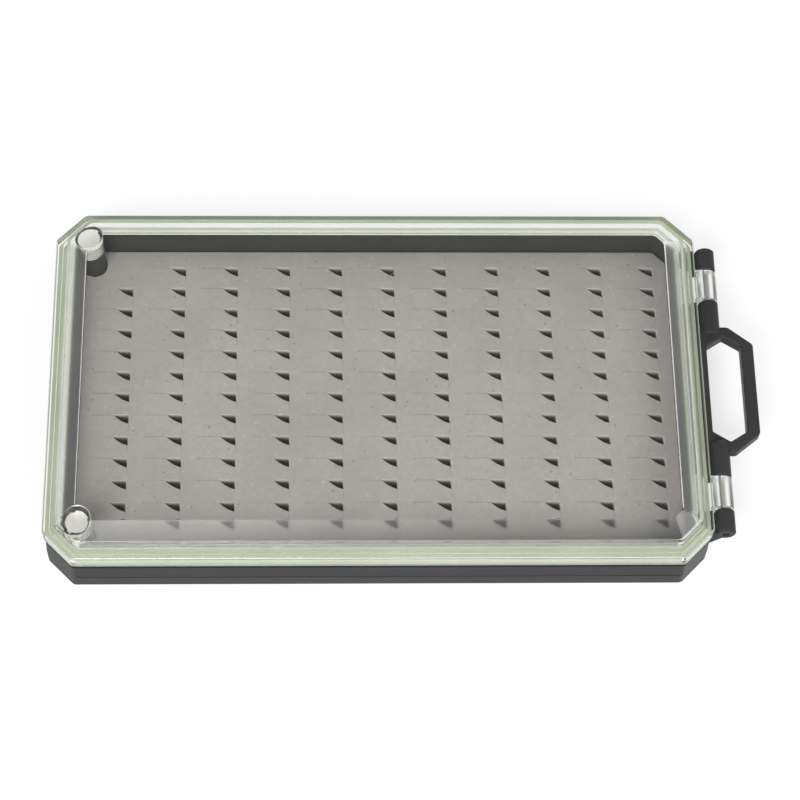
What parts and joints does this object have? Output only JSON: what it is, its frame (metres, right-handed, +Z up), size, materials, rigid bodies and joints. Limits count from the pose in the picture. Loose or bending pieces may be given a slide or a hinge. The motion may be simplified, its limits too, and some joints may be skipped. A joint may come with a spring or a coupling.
{
  "type": "spoon lure box",
  "caption": "Shallow cut-corner lure box: dark moulded tray with a notched foam pad, clear hinged lid, green seal, corner magnets and a carry loop beside the hinge.",
  "frame": {"origin": "centre of the tray's flat underside, on the surface the closed box lies on", "axes": "+X along the length towards the hinge and carry loop, +Y towards the rear long side, +Z up through the lid"},
  "size_m": [0.2041, 0.1094, 0.0258],
  "materials": {
    "tray_plastic": "fine moulded satin",
    "clear_plastic": "clear polished moulding",
    "seal_silicone": "soft matte silicone",
    "foam": "closed-cell foam, fine pores",
    "pin_steel": "drawn wire",
    "magnet_nickel": "nickel plated"
  },
  "bodies": {
    "tray": {"tray": "tray_plastic", "gasket": "seal_silicone", "foam_pad": "foam", "hinge_pin_rear": "pin_steel", "hinge_pin_front": "pin_steel", "post_magnet_rear": "magnet_nickel", "post_magnet_front": "magnet_nickel"},
    "lid": {"lid": "clear_plastic", "lid_magnet_rear": "magnet_nickel", "lid_magnet_front": "magnet_nickel"}
  },
  "joints": [
    {"name": "lid_hinge", "type": "hinge", "parent": "tray", "child": "lid", "pos_m": [0.0979, 0, 0.0138], "axis": [0, 1, 0], "range_deg": [0, 114]}
  ]
}
